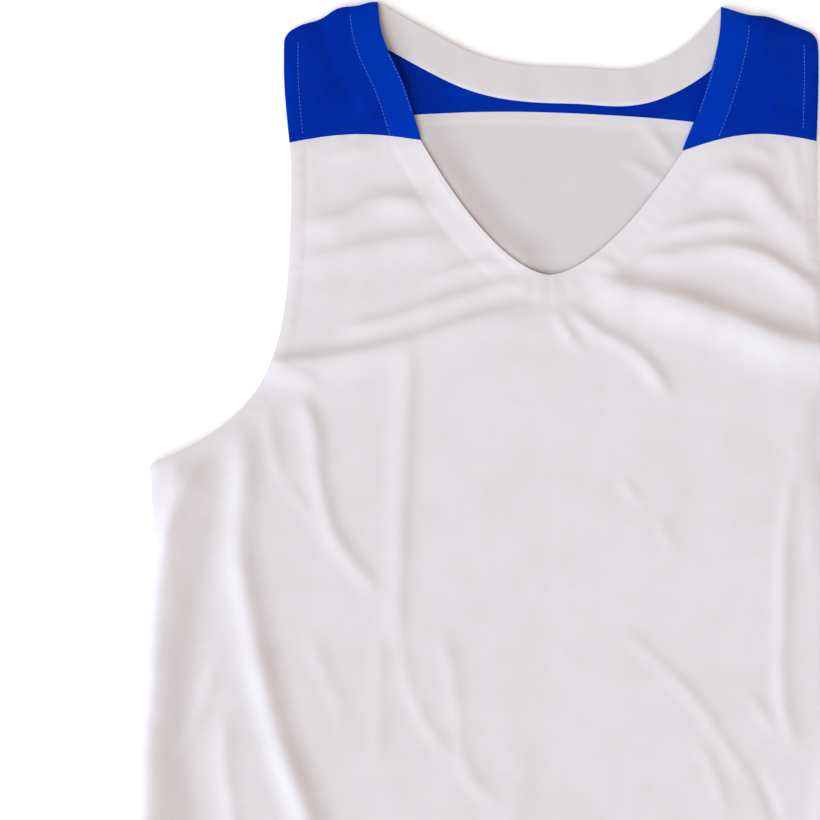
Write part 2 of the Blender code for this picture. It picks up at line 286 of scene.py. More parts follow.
@dataclass(frozen=True)
class HalfCut:
    """Outline of one half of the garment, with its half widths measured from the centre line."""

    sign: float
    waist_half: float
    underarm_half: float
    armhole_half: float
    shoulder_flare: float
    neck_rows: tuple[tuple[float, float], ...]
    shoulder_tip_y: float
    neck_point_y: float
    shoulder_bow: float
    shoulder_skew: float
    shoulder_wave: float
    wave_count: float
    v_half: float
    seam_outer_y: float
    seam_inner_y: float
    seam_bow: float
    pucker_seed: int

    HEM_HALF = 297.0
    WAIST_Y = 20.0
    ARMHOLE_SCOOP = 37.0
    FLARE_FROM = 268.0
    FLARE_TO = 350.0
    V_POWER = 0.6
    PUCKER = 0.55
    WAVE_START = 0.35       # turns that the shoulder's waves have made at the neck point
    CORNER = 2.2            # softness of the underarm corner
    TIP_RADIUS = 6.0        # round of the shoulder tip
    SCOOP_FROM = -60.0      # lowest level, from the underarm, down to which the scoop is carried on
    SCOOP_POWER = 1.9       # points stand closer at the underarm,
    NECK_POWER = 1.7        # at the tip of the V
    TIP_POWER = 1.5         # and at the tip of the shoulder
    SIDE_POINTS = 60
    EDGE_POINTS = 90
    SHOULDER_POINTS = 40
    SEAM_POINTS = 30

    def outer(self, y: Array) -> Array:
        """Half width at each level: the soft smaller of the body's and the armhole's.

        Body: the waist's, plus a quarter sine wave down to the hem, plus a level-ended ramp up to the
        underarm, puckered by small sine waves. Armhole: its own, plus a scoop that dies away as an
        exponential, plus a ramp at the shoulder. The soft minimum rounds the corner between them.

        Args:
            y: Levels.

        Returns:
            Half widths.
        """
        down = np.clip((self.WAIST_Y - y) / (self.WAIST_Y - HEM), 0.0, 1.0)
        up = ease((y - self.WAIST_Y) / (UNDERARM - self.WAIST_Y))
        body = self.waist_half + (self.HEM_HALF - self.waist_half) * np.sin(np.pi / 2 * down)
        body = body + (self.underarm_half - self.waist_half) * up
        body = body + self.pucker(y) * ease((UNDERARM - y) / 6.0) * ease((y - HEM) / 20.0)
        fall = np.exp(-np.clip(y - UNDERARM, self.SCOOP_FROM, None) / self.ARMHOLE_SCOOP)
        flare = self.shoulder_flare * ease((y - self.FLARE_FROM) / (self.FLARE_TO - self.FLARE_FROM))
        above = self.armhole_half + (self.underarm_half - self.armhole_half) * fall + flare
        return -self.CORNER * np.logaddexp(-body / self.CORNER, -above / self.CORNER)

    def pucker(self, y: Array) -> Array:
        """Small inward waves of the side seam between its stitches, and slower ones of the fold.

        Args:
            y: Levels.

        Returns:
            What to add to the half width, mostly below 0.
        """
        draw = np.random.default_rng(self.pucker_seed)
        fine, medium, slow = draw.uniform(0.0, 2 * np.pi, 3)
        wave = np.sin(y / 1.35 + fine + 1.5 * np.sin(y / 9.0)) + 1.1 * np.sin(y / 3.6 + medium)
        return self.PUCKER * (0.5 * wave + np.sin(y / 14.0 + slow) - 1.5)

    def neck(self, y: Array) -> Array:
        """Half width of the neck: a power curve up the V to the yoke seam, then a cubic through rows.

        Args:
            y: Levels.

        Returns:
            Half widths.
        """
        rise = np.clip((y - V_TIP) / (self.seam_inner_y - V_TIP), 0.0, 1.0)
        above = through(*zip(*self.neck_rows), y)
        return np.where(y <= self.seam_inner_y, self.v_half * rise ** self.V_POWER, above)

    def shoulder(self, x: Array) -> Array:
        """Level of the shoulder line over |x|.

        A chord from neck point to tip, with a skewed arch, two low waves where the seam puckers, and
        a quarter circle down to the outer edge at the tip.

        Args:
            x: Places across; their signs don't matter.

        Returns:
            Levels.
        """
        near, far = self.neck_rows[-1][1], self.outer(np.array(self.tip_low))
        t = np.clip((np.abs(x) - near) / (far - near), 0.0, 1.0)
        chord = self.neck_point_y + (self.shoulder_tip_y - self.neck_point_y) * t
        arch = self.shoulder_bow * np.sin(np.pi * t ** self.shoulder_skew)
        turns = self.wave_count * t + self.WAVE_START
        waves = self.shoulder_wave * np.sin(np.pi * t) * np.sin(2 * np.pi * turns)
        from_tip = np.clip((far - np.abs(x)) / self.TIP_RADIUS, 0.0, 1.0)
        corner = self.TIP_RADIUS * (1 - np.sqrt(1 - (1 - from_tip) ** 2))
        return np.minimum(chord + arch + waves, self.neck_point_y) - corner

    @property
    def tip_low(self) -> float:
        """Level at which the outer edge ends and the round of the shoulder tip begins."""
        return self.shoulder_tip_y - self.TIP_RADIUS

    def outer_x(self, y: float) -> float:
        """X of the outer edge at one level."""
        return self.sign * float(self.outer(np.array(y)))

    def at_outer(self, y: Array) -> Array:
        """Plan points of the outer edge at given levels."""
        return np.column_stack([self.sign * self.outer(y), y])

    def at_neck(self, y: Array) -> Array:
        """Plan points of the neck edge at given levels."""
        return np.column_stack([self.sign * self.neck(y), y])

    def side_seam(self) -> Array:
        """Side seam, from the hem up."""
        return self.at_outer(np.linspace(HEM, UNDERARM, self.SIDE_POINTS))

    def armhole(self) -> Array:
        """Armhole edge, from the underarm up; levels stand closer in the scoop."""
        t = np.linspace(0.0, 1.0, self.EDGE_POINTS) ** self.SCOOP_POWER
        return self.at_outer(UNDERARM + (self.tip_low - UNDERARM) * t)

    def neck_edge(self) -> Array:
        """Front neck edge, from the tip of the V up; levels stand closer at the tip."""
        t = np.linspace(0.0, 1.0, self.EDGE_POINTS) ** self.NECK_POWER
        return self.at_neck(V_TIP + (self.neck_point_y - V_TIP) * t)

    def shoulder_edge(self) -> Array:
        """Shoulder line, from the tip to the neck point."""
        far, near = self.outer(np.array(self.tip_low)), self.neck_rows[-1][1]
        t = np.linspace(0.0, 1.0, self.SHOULDER_POINTS) ** self.TIP_POWER
        x = self.sign * (far + (near - far) * t)
        return np.column_stack([x, self.shoulder(x)])

    def yoke_seam(self, count: int = SEAM_POINTS) -> Array:
        """Seam below the front yoke, from the armhole to the neck: a chord with a sine arch.

        Args:
            count: Number of points.

        Returns:
            Plan points.
        """
        t = np.linspace(0.0, 1.0, count)
        start, end = self.outer(np.array(self.seam_outer_y)), self.v_half
        rise = self.seam_outer_y + (self.seam_inner_y - self.seam_outer_y) * t
        return np.column_stack([
            self.sign * (start + (end - start) * t),
            rise + self.seam_bow * np.sin(np.pi * t),
        ])


MINUS_X = HalfCut(
    sign=-1.0, waist_half=277.0, underarm_half=280.0, armhole_half=180.0, shoulder_flare=5.5,
    neck_rows=((290.0, 87.0), (335.0, 101.0), (375.0, 117.5), (396.0, 120.0)),
    shoulder_tip_y=373.0, neck_point_y=395.0, shoulder_bow=3.5, shoulder_skew=0.76,
    shoulder_wave=1.3, wave_count=2.2,
    v_half=90.0, seam_outer_y=296.5, seam_inner_y=298.0, seam_bow=5.0, pucker_seed=3,
)
PLUS_X = HalfCut(
    sign=1.0, waist_half=278.0, underarm_half=280.5, armhole_half=186.5, shoulder_flare=2.0,
    neck_rows=((290.0, 93.0), (335.0, 110.0), (375.0, 119.5), (396.0, 120.5)),
    shoulder_tip_y=371.0, neck_point_y=391.5, shoulder_bow=3.0, shoulder_skew=1.9,
    shoulder_wave=0.9, wave_count=1.8,
    v_half=94.0, seam_outer_y=297.5, seam_inner_y=291.0, seam_bow=8.0, pucker_seed=8,
)
HALVES = (MINUS_X, PLUS_X)

# The back's curves, from -X to +X.
BACK_NECKLINE = (
    (-120.0, 395.0), (-90.0, 378.0), (-50.0, 358.0), (20.0, 349.0), (70.0, 351.0), (100.0, 369.0),
    (120.5, 391.5),
)
BACK_YOKE_SEAM = ((-182.0, 306.0), (-60.0, 318.0), (60.0, 315.0), (187.5, 301.0))
FACING_WIDTH = 25.0


def neckline(count: int) -> Array:
    """The back neckline as a polyline of this many points: a cubic through its rows."""
    x = np.linspace(BACK_NECKLINE[0][0], BACK_NECKLINE[-1][0], count)
    return np.column_stack([x, through(*zip(*BACK_NECKLINE), x)])


def back_seam_y(x: Array) -> Array:
    """Level of the seam between the back and its yoke: a cubic through its rows."""
    return through(*zip(*BACK_YOKE_SEAM), x)


# ---------------------------------------------------------------- creases

BODY_CREASES = (
    # Wearer's right side: the rolled side seam, the hollow beside it and the long fold.
    Crease(((-288, -290), (-282, -168), (-280, -110), (-276, -50), (-268, 15), (-254, 84)),
           6.8, 5.0, 12.0, end_rise=2.8, end_right=14.0, fade=100.0),
    Crease(((-226, -290), (-244, -170), (-249, -110), (-244, -50), (-234, 10), (-222, 96)),
           -3.3, 9.5, 13.0, end_rise=-1.5),
    Crease(((-276, 0), (-262, 40), (-240, 84)), 1.5, 3.0, 4.5),
    Crease(((-146, -260), (-172, -168), (-189, -120), (-207, -46), (-217, 16), (-214, 62), (-212, 104)),
           4.9, 6.4, 6.8, end_rise=3.2, fade=80.0),
    Crease(((-258, -136), (-242, -94), (-228, -52)), 1.3, 3.6, 4.0),
    Crease(((-216, -200), (-226, -146), (-227, -96)), 1.3, 3.6, 4.0),
    # Under the arm, at the foot of the armhole.
    Crease(((-198, 118), (-193, 84), (-184, 52)), 1.3, 3.2, 3.4),
    Crease(((-190, 66), (-174, 46), (-156, 24)), 0.5, 3.0, 3.4),
    Crease(((-112, -26), (-136, 2), (-150, 22), (-156, 40), (-161, 62), (-164, 94), (-176, 128)),
           1.2, 5.0, 3.6, end_rise=2.4),
    Crease(((-198, 130), (-176, 134), (-152, 118)), 1.0, 3.6, 5.0),
    # The pressed crease down the front.
    Crease(((-106, -60), (-104, 20), (-101, 90), (-97, 164)), 1.4, 6.5, 4.2),
    # Faint ones in the middle.
    Crease(((-62, -142), (-88, -106), (-99, -78), (-106, -38)), 0.7, 3.6, 3.6),
    Crease(((-26, -176), (-58, -142), (-64, -98), (-76, -36)), 0.7, 4.0, 4.0),
    Crease(((-120, -150), (-118, -40)), 0.6, 4.0, 4.0),
    Crease(((-140, -120), (-156, -76), (-173, -36)), 0.7, 4.6, 4.6),
    Crease(((-28, -230), (-20, -110)), 0.9, 9.0, 9.0),
    # Wearer's left side.
    Crease(((174, -134), (164, -100), (163, -30), (164, 22), (172, 74)), 1.4, 3.4, 4.6),
    Crease(((186, -20), (182, 38), (168, 104)), 0.5, 4.0, 6.0),
    Crease(((46, -40), (78, -68), (100, -90), (122, -122), (146, -158)), 0.5, 2.8, 4.0, end_rise=0.8),
    Crease(((142, -132), (152, -158), (164, -190)), -1.1, 3.0, 3.0),
    Crease(((136, -80), (150, -104), (166, -128)), 0.7, 2.6, 3.4),
    Crease(((48, 68), (58, 52), (70, 38)), 0.5, 2.4, 2.8),
    Crease(((96, -110), (116, -146), (126, -186)), 0.6, 3.2, 3.4),
    Crease(((74, 40), (90, 4)), 0.4, 3.4, 3.4),
    # The side past the armhole, and the lower body.
    Crease(((286, -290), (280, -140), (274, -60), (266, 10), (254, 72)),
           4.2, 13.0, 4.5, end_rise=4.6),
    Crease(((236, -230), (250, -110), (246, -20)), -1.7, 8.0, 9.0),
    Crease(((176, -250), (202, -130), (214, -50), (214, 30), (208, 100)),
           3.0, 6.5, 8.0, end_rise=2.2, fade=70.0),
    Crease(((198, 40), (190, 92), (194, 134)), -1.3, 4.2, 4.2),
    Crease(((-60, -195), (-34, -280), (-38, -376)), 2.0, 8.0, 9.0, end_rise=1.2),
    Crease(((-238, -225), (-230, -300), (-238, -388)), 2.6, 8.0, 9.0),
    Crease(((-150, -230), (-160, -310), (-148, -384)), -1.4, 7.0, 7.0),
    Crease(((96, -205), (112, -300), (98, -382)), 2.2, 8.0, 9.0),
    Crease(((232, -235), (240, -310), (226, -386)), 2.8, 9.0, 8.0),
    Crease(((20, -230), (40, -310), (30, -376)), -1.3, 8.0, 7.0),
    Crease(((160, -240), (172, -320), (166, -384)), -1.3, 7.0, 7.0),
)

CHEST_CREASES = (
    # From the wearer's right armhole to the V, from the yoke down.
    Crease(((-166, 281), (-143, 290), (-116, 293)), 0.9, 3.0, 4.2),
    Crease(((-178, 234), (-142, 245), (-122, 255), (-98, 256), (-76, 248)), 2.6, 4.6, 8.0),
    Crease(((-182, 208), (-140, 220), (-114, 226), (-62, 230)), 1.9, 5.0, 8.0),
    Crease(((-178, 180), (-140, 202)), 0.6, 3.6, 5.0),
    Crease(((-100, 194), (-66, 207), (-44, 212), (-22, 208)), 1.1, 3.2, 4.4),
    Crease(((-152, 163), (-109, 174), (-58, 190), (-34, 197), (-8, 196)), 1.9, 3.4, 5.0),
    Crease(((-212, 138), (-179, 143), (-138, 148), (-96, 158), (-52, 172), (-8, 183)),
           3.7, 4.0, 9.0, end_rise=2.2),
    # From the V to the wearer's left armhole.
    Crease(((130, 294), (146, 291), (164, 282)), 0.7, 3.0, 4.0),
    Crease(((102, 262), (130, 274), (147, 268), (157, 254), (170, 240), (176, 218)), 2.4, 5.4, 8.0),
    Crease(((180, 206), (176, 260), (168, 304)), 0.7, 3.6, 3.6),
    Crease(((68, 228), (98, 238), (124, 242), (152, 236)), 1.9, 3.4, 5.0),
    Crease(((56, 212), (98, 220), (124, 223), (148, 218), (168, 206), (198, 184)),
           2.0, 4.2, 7.5, end_rise=3.4),
    Crease(((20, 220), (36, 214), (54, 206)), 0.7, 2.8, 3.4),
    Crease(((26, 200), (60, 193), (92, 186), (124, 175), (158, 161), (192, 153), (226, 148)),
           4.4, 6.2, 12.0, end_rise=5.6),
    Crease(((4, 187), (36, 164), (58, 152), (72, 138), (88, 112)), 1.6, 3.6, 4.6),
    Crease(((0, 184), (12, 166), (26, 146)), 1.1, 3.0, 3.6),
)

YOKE_CREASES = (
    Crease(((-166, 304), (-158, 336), (-160, 368)), 0.9, 6.0, 7.0),
    Crease(((-132, 306), (-138, 340), (-148, 384)), -0.8, 5.0, 5.0),
    Crease(((160, 302), (158, 340), (162, 374)), 0.9, 7.0, 6.0),
    Crease(((132, 300), (142, 336), (150, 380)), -0.8, 5.0, 5.0),
)

BACK_CREASES = (
    # Inside the neck; the first lifts along the edge of the V.
    Crease(((-104, 350), (-88, 296), (-73, 270), (-51, 240), (-31, 220), (2, 200)), 3.9, 10.5, 8.0),
    Crease(((60, 316), (74, 302), (94, 276)), 1.0, 3.0, 3.4),
    Crease(((48, 290), (66, 279), (90, 262)), 0.9, 3.0, 3.4),
    Crease(((-50, 300), (-20, 262), (-4, 226)), 0.4, 9.0, 9.0),
    # Under the body.
    Crease(((-210, 80), (-200, -20), (-160, -170)), 0.9, 9.0, 11.0),
    Crease(((206, 86), (214, -10), (190, -150)), 0.9, 10.0, 9.0),
    Crease(((-150, 170), (-60, 140), (60, 150)), 0.8, 9.0, 10.0),
    Crease(((30, 120), (110, 100), (180, 130)), 0.7, 8.0, 9.0),
    Crease(((-40, -60), (-20, -190), (-50, -330)), 0.8, 10.0, 10.0),
    Crease(((120, -90), (100, -220), (130, -350)), 0.7, 9.0, 10.0),
    Crease(((-230, -190), (-222, -280), (-236, -370)), 0.8, 9.0, 9.0),
    Crease(((-120, 20), (-90, -60), (-110, -130)), 0.6, 7.0, 8.0),
    Crease(((40, 20), (64, -60), (50, -130)), 0.5, 7.0, 7.0),
)


@dataclass(frozen=True)
class FrontLie:
    """How the front lies over the back: heights of its upper side over the plan."""

    air: float = 3.0
    side_roll: float = 3.6
    armhole_roll: float = 3.4
    armhole_stand: float = 4.0      # the band keeps the armhole's edge off the back
    shoulder_roll: float = 8.0
    hem_roll: float = 12.0
    neck_lift: tuple[float, float] = (1.0, -2.3)        # on the -X half and on the +X half
    neck_reach: float = 13.0
    band_rise: float = 0.22
    stitch_dent: float = 0.12
    stitch_half_width: float = 2.0
    pucker: float = 0.13
    seam_dent: float = 0.5
    softness: float = 0.3
    facing_rise: float = 1.8
    broad: Ripple = Ripple(rise=0.36, shortest=50.0, longest=150.0, count=14, seed=11)
    fine: Ripple = Ripple(rise=0.07, shortest=11.0, longest=30.0, count=22, seed=5)

    ROUTES = {
        "side": HalfCut.side_seam, "armhole": HalfCut.armhole, "shoulder": HalfCut.shoulder_edge,
        "neck": HalfCut.neck_edge, "seam": HalfCut.yoke_seam,
    }
    BANDS = {"neck": 20.0, "hem": 24.0, "armhole": 10.0}    # turned-in edges and their widths
    DOUBLED = ("neck", "hem")                               # those that look lighter
    RAMP = 4.0              # width over which the lighter look ends
    STEP = 5.0              # width over which a band's step ends
    SHELF = 42.0            # the front rides over the facing to this distance from the neck
    SHELF_Y = 300.0         # and from this level up,
    SHELF_RAMP = 14.0       # with ramps of this length
    TURN_X = -20.0          # the neck's lift changes from here
    TURN_WIDTH = 40.0       # over this width
    CARRIED = 0.25          # part of a fold's height that is kept at the very edge
    MITRE_DENT = 0.15
    GROOVE = 2.0            # half width of the mitre and of the seam's groove

    def edges(self, x: Array, y: Array) -> tuple[dict[str, Array], dict[str, Array]]:
        """Where each plan point lies from the edges.

        Args:
            x: Plan places.
            y: Plan places.

        Returns:
            Distance to the nearest side seam, armhole, shoulder, hem, neck and yoke seam, and how
            far along the edge the nearest place is.
        """
        away, along = {}, {}
        for name, route in self.ROUTES.items():
            found = [nearest(route(half), x, y) for half in HALVES]
            far = [np.abs(distance) for distance, _ in found]
            run = [share * lengths(route(half))[-1] for (_, share), half in zip(found, HALVES)]
            away[name] = np.minimum(*far)
            along[name] = np.where(far[0] <= far[1], *run)
        away["hem"], along["hem"] = np.abs(y - HEM), x
        return away, along

    def doubled(self, x: Array, y: Array) -> Array:
        """Where the cloth is turned in and lies double.

        Args:
            x: Plan places.
            y: Plan places.

        Returns:
            1 there, 0 elsewhere, with a short ramp between.
        """
        away, _ = self.edges(x, y)
        return np.maximum.reduce([
            ease((self.BANDS[name] + self.RAMP / 2 - away[name]) / self.RAMP) for name in self.DOUBLED
        ])

    def height(self, x: Array, y: Array) -> Array:
        """Upper side's height.

        The air gap closes at the edges as an exponential, the neck edge is lifted, and creases and
        ripples are added, over a soft floor that keeps the cloth above the back and the facing.
        Turned bands stand up by a step, with a dent along their stitches and small puckers, and the
        yoke seam and the mitre under the V are grooves.

        Args:
            x: Plan places.
            y: Plan places.

        Returns:
            Height there.
        """
        away, along = self.edges(x, y)
        edge = np.minimum.reduce([
            away["side"] / self.side_roll, (away["armhole"] + self.armhole_stand) / self.armhole_roll,
            away["shoulder"] / self.shoulder_roll, away["hem"] / self.hem_roll,
        ])
        inside = 1 - np.exp(-edge)
        near_neck = ease((self.SHELF - away["neck"]) / self.SHELF_RAMP)
        over_facing = near_neck * ease((y - self.SHELF_Y) / self.SHELF_RAMP)
        lowest = WALL + LAP + WALL + self.facing_rise * over_facing
        turned = ease((x - self.TURN_X) / self.TURN_WIDTH)
        most = self.neck_lift[0] + (self.neck_lift[1] - self.neck_lift[0]) * turned
        lift = most * np.exp(-away["neck"] / self.neck_reach) * inside
        folds = sum(crease(x, y) for crease in BODY_CREASES + CHEST_CREASES + YOKE_CREASES)
        lie = self.air * inside + lift + folds * (self.CARRIED + (1 - self.CARRIED) * inside)
        lie = lie + (self.broad(x, y) + self.fine(x, y)) * inside
        under = BACK_LIE.lift(x, y)
        free = lowest + under + self.softness * np.logaddexp(0.0, (lie - under) / self.softness)
        for name, width in self.BANDS.items():
            wave = np.sin(along[name] / 1.7) * np.sin(along[name] / 11.0 + 0.8)
            free = free + self.pucker * wave * bell(away[name] - width / 2, width / 3)
            free = free + self.band_rise * ease((width + self.STEP / 2 - away[name]) / self.STEP)
            free = free - self.stitch_dent * bell(away[name] - width, self.stitch_half_width)
        beyond = np.clip(V_TIP - self.BANDS["neck"] - y, 0.0, None) + np.clip(y - V_TIP, 0.0, None)
        free = free - self.MITRE_DENT * bell(np.abs(x) + beyond, self.GROOVE)
        wave = 1 + 0.5 * np.sin(along["seam"] / 2.3) * np.sin(along["seam"] / 9.0)
        return free - self.seam_dent * wave * bell(away["seam"], self.GROOVE)


@dataclass(frozen=True)
class BackLie:
    """How the back lies on the surface: it lifts a little along shallow creases."""

    allowance: float = 9.0
    allowance_edge: float = 2.5     # width over which the allowance's step ends
    raised: float = 0.12            # mean lift of the ripples
    most: float = 4.0
    edge_roll: float = 16.0         # distance over which the lift dies away at the edges
    broad: Ripple = Ripple(rise=0.09, shortest=40.0, longest=120.0, count=10, seed=21)

    def lift(self, x: Array, y: Array) -> Array:
        """Height of the underside: creases and ripples, never below 0, that die away at the edges.

        Args:
            x: Plan places.
            y: Plan places.

        Returns:
            Height there.
        """
        edge = np.minimum.reduce([
            np.abs(nearest(route(half), x, y)[0])
            for half in HALVES for route in (HalfCut.side_seam, HalfCut.armhole, HalfCut.shoulder_edge)
        ] + [np.abs(y - HEM)])
        rise = sum(crease(x, y) for crease in BACK_CREASES) + self.broad(x, y) + self.raised
        return np.clip(rise, 0.0, self.most) * ease(edge / self.edge_roll)

    def under_seam(self, x: Array, y: Array) -> Array:
        """1 over the seam allowance below the back yoke, 0 elsewhere."""
        return ease((y - back_seam_y(x) + self.allowance) / self.allowance_edge)

    def height(self, x: Array, y: Array) -> Array:
        """Upper side's height: the lift, the wall and the seam allowance."""
        return self.lift(x, y) + WALL + ALLOWANCE_RISE * self.under_seam(x, y)


FRONT_LIE = FrontLie()
BACK_LIE = BackLie()


# ---------------------------------------------------------------- shader graphs

Value = Union["Signal", float]


class Signal:
    """One output of a shader graph; arithmetic on it adds Math nodes."""

    def __init__(self, graph: "Graph", socket: bpy.types.NodeSocket) -> None:
        """Wrap a socket of a graph."""
        self.graph = graph
        self.socket = socket

    def __add__(self, other: Value) -> "Signal":
        """Sum."""
        return self.graph.maths("ADD", self, other)

    def __sub__(self, other: Value) -> "Signal":
        """Difference."""
        return self.graph.maths("SUBTRACT", self, other)

    def __rsub__(self, other: Value) -> "Signal":
        """Difference from a number."""
        return self.graph.maths("SUBTRACT", other, self)

    def __mul__(self, other: Value) -> "Signal":
        """Product."""
        return self.graph.maths("MULTIPLY", self, other)

    __radd__ = __add__
    __rmul__ = __mul__

    def fold(self) -> "Signal":
        """Distance from the middle of each unit step, from 0 to 0.5."""
        return self.graph.maths("ABSOLUTE", self.graph.maths("FRACT", self, 0.0) - 0.5, 0.0)

    def sine(self) -> "Signal":
        """Sine of the value in radians."""
        return self.graph.maths("SINE", self, 0.0)


class Graph:
    """The node tree of one material."""

    def __init__(self, name: str) -> None:
        """Start an empty material of this name."""
        self.material = bpy.data.materials.new(name)
        self.material.use_nodes = True
        self.tree = self.material.node_tree
        self.tree.nodes.clear()

    def node(self, kind: str, settings: dict, sockets: dict, output: Union[int, str] = 0) -> Signal:
        """Add one node.

        Args:
            kind: Its type.
            settings: Its properties, set first.
            sockets: Values or signals of its inputs, by name or number.
            output: The output to return.

        Returns:
            That output.
        """
        made = self.tree.nodes.new(kind)
        for name, value in settings.items():
            setattr(made, name, value)
        for name, value in sockets.items():
            if isinstance(value, Signal):
                self.tree.links.new(value.socket, made.inputs[name])
            else:
                made.inputs[name].default_value = value
        return Signal(self, made.outputs[output])

    def maths(self, operation: str, first: Value, second: Value) -> Signal:
        """Add a Math node with one operation on two values."""
        return self.node("ShaderNodeMath", {"operation": operation}, {0: first, 1: second})

    def place(self, axis: str) -> Signal:
        """One Object coordinate, in millimetres."""
        point = self.node("ShaderNodeTexCoord", {}, {}, "Object")
        return self.node("ShaderNodeSeparateXYZ", {}, {"Vector": point}, axis) * (1 / MM)

    def noise(self, size: float, detail: float, roughness: float = 0.5) -> Signal:
        """Noise from 0 to 1.

        Args:
            size: Rough size of its features, in millimetres.
            detail: Number of finer layers.
            roughness: How much each finer layer keeps.

        Returns:
            The noise.
        """
        point = self.node("ShaderNodeTexCoord", {}, {}, "Object")
        sockets = {"Vector": point, "Scale": 1 / (size * MM), "Detail": detail, "Roughness": roughness}
        return self.node("ShaderNodeTexNoise", {}, sockets)

    def blend(self, factor: Value, first: object, second: object) -> Signal:
        """Mix two colours by a factor, which is held from 0 to 1."""
        settings = {"data_type": "RGBA", "clamp_factor": True}
        return self.node("ShaderNodeMix", settings, {0: factor, 6: first, 7: second}, 2)

    def finish(self, colour: Signal, roughness: Value, normal: Signal, constants: dict) -> bpy.types.Material:
        """Join the Principled shader to the output.

        Args:
            colour: Base colour.
            roughness: Roughness.
            normal: Normal.
            constants: Values that are the same all over, set on the shader's own sockets.

        Returns:
            The material.
        """
        sockets = {"Base Color": colour, "Roughness": roughness, "Normal": normal, **constants}
        shader = self.node("ShaderNodeBsdfPrincipled", {}, sockets)
        output = self.tree.nodes.new("ShaderNodeOutputMaterial")
        self.tree.links.new(shader.socket, output.inputs["Surface"])
        return self.material

    def bump(self, height: Signal, depth: float, strength: float = 1.0) -> Signal:
        """Normal of a surface whose heights, from 0 to 1, are one depth in millimetres."""
        sockets = {"Strength": strength, "Distance": depth * MM, "Height": height}
        return self.node("ShaderNodeBump", {}, sockets, "Normal")


Colour = tuple[float, float, float, float]


@dataclass(frozen=True)
class Knit:
    """A fine jersey knit: small slanted loops in wales and courses, with soft uneven colour.

    Attributes:
        name: Name of the material.
        light: Base colour of a full loop.
        dark: Base colour where the cloth is slightly thinner or soiled.
        doubled: Base colour where the cloth lies double.
        roughness: Middle roughness.
        gloss: Specular level.
        sheen: Weight of the fibre sheen.
        depth: Depth of the loops.
        wale: Distance between two columns of loops.
        course: Distance between two rows of loops.
    """

    name: str
    light: Colour
    dark: Colour
    doubled: Colour
    roughness: float = 0.85
    gloss: float = 0.15
    sheen: float = 0.08
    depth: float = 0.03
    wale: float = 1.0
    course: float = 0.8

    MOTTLE_SIZE = 34.0      # size of the soft uneven patches
    GRAIN_SIZE = 2.6        # size of the fine unevenness
    LOOP_SLANT = 0.9
    MOTTLE_MIDDLE = 0.36    # level of the mottle at which the dark colour starts to give way,
    MOTTLE_GAIN = 3.2       # and how fast it does

    def build(self) -> bpy.types.Material:
        """Make the material.

        The loops' height is a sine up the cloth whose phase is pushed by the distance from each
        wale's middle, so that rows become rows of small Vs, less a groove between the wales.
        """
        graph = Graph(self.name)
        across = (graph.place("X") * (1 / self.wale)).fold()
        phase = graph.place("Y") * (2 * np.pi / self.course) + across * (2 * np.pi * self.LOOP_SLANT)
        grain = graph.noise(self.GRAIN_SIZE, 3.0, 0.6)
        loops = phase.sine() * 0.5 + (0.5 - across) * 0.9 + grain * 0.8
        normal = graph.bump(loops, self.depth)
        mottle = graph.noise(self.MOTTLE_SIZE, 4.0, 0.55) * 0.7 + grain * 0.3
        plain = graph.blend((mottle - self.MOTTLE_MIDDLE) * self.MOTTLE_GAIN, self.dark, self.light)
        layers = graph.node("ShaderNodeAttribute", {"attribute_name": "doubled"}, {}, "Fac")
        colour = graph.blend(layers, plain, self.doubled)
        roughness = grain * 0.12 + (self.roughness - 0.06)
        constants = {"Sheen Weight": self.sheen, "Sheen Roughness": 0.6, "Specular IOR Level": self.gloss}
        return graph.finish(colour, roughness, normal, constants)


@dataclass(frozen=True)
class Thread:
    """Sewing thread: two plies that twist round each other."""

    name: str
    light: Colour
    dark: Colour
    twist: float = 1.1          # length of one turn of the plies
    depth: float = 0.08
    strength: float = 0.6

    def build(self) -> bpy.types.Material:
        """Make the material: a sine along a slanted coordinate gives both colour and height."""
        graph = Graph(self.name)
        plies = ((graph.place("X") + graph.place("Y")) * (2 * np.pi / self.twist)).sine() * 0.5 + 0.5
        colour = graph.blend(plies, self.dark, self.light)
        normal = graph.bump(plies, self.depth, self.strength)
        roughness = graph.noise(3.0, 1.0) * 0.1 + 0.55
        return graph.finish(colour, roughness, normal, {"Sheen Weight": 0.1, "Specular IOR Level": 0.4})


@dataclass(frozen=True)
class Tabletop:
    """The plain pale floor, with a faint glow that keeps the shadows light."""

    name: str = "tabletop"
    tone: Colour = (0.93, 0.93, 0.93, 1.0)
    glow: float = 0.22
    grain_depth: float = 0.05
    grain_strength: float = 0.05

    def build(self) -> bpy.types.Material:
        """Make the material: a very slow noise moves the tone by under one percent."""
        graph = Graph(self.name)
        darker = tuple(0.992 * part for part in self.tone[:3]) + (1.0,)
        colour = graph.blend(graph.noise(220.0, 2.0), darker, self.tone)
        grain = graph.noise(1.5, 2.0)
        normal = graph.bump(grain, self.grain_depth, self.grain_strength)
        constants = {"Emission Color": (1.0, 1.0, 1.0, 1.0), "Emission Strength": self.glow,
                     "Specular IOR Level": 0.1}
        return graph.finish(colour, 0.9, normal, constants)


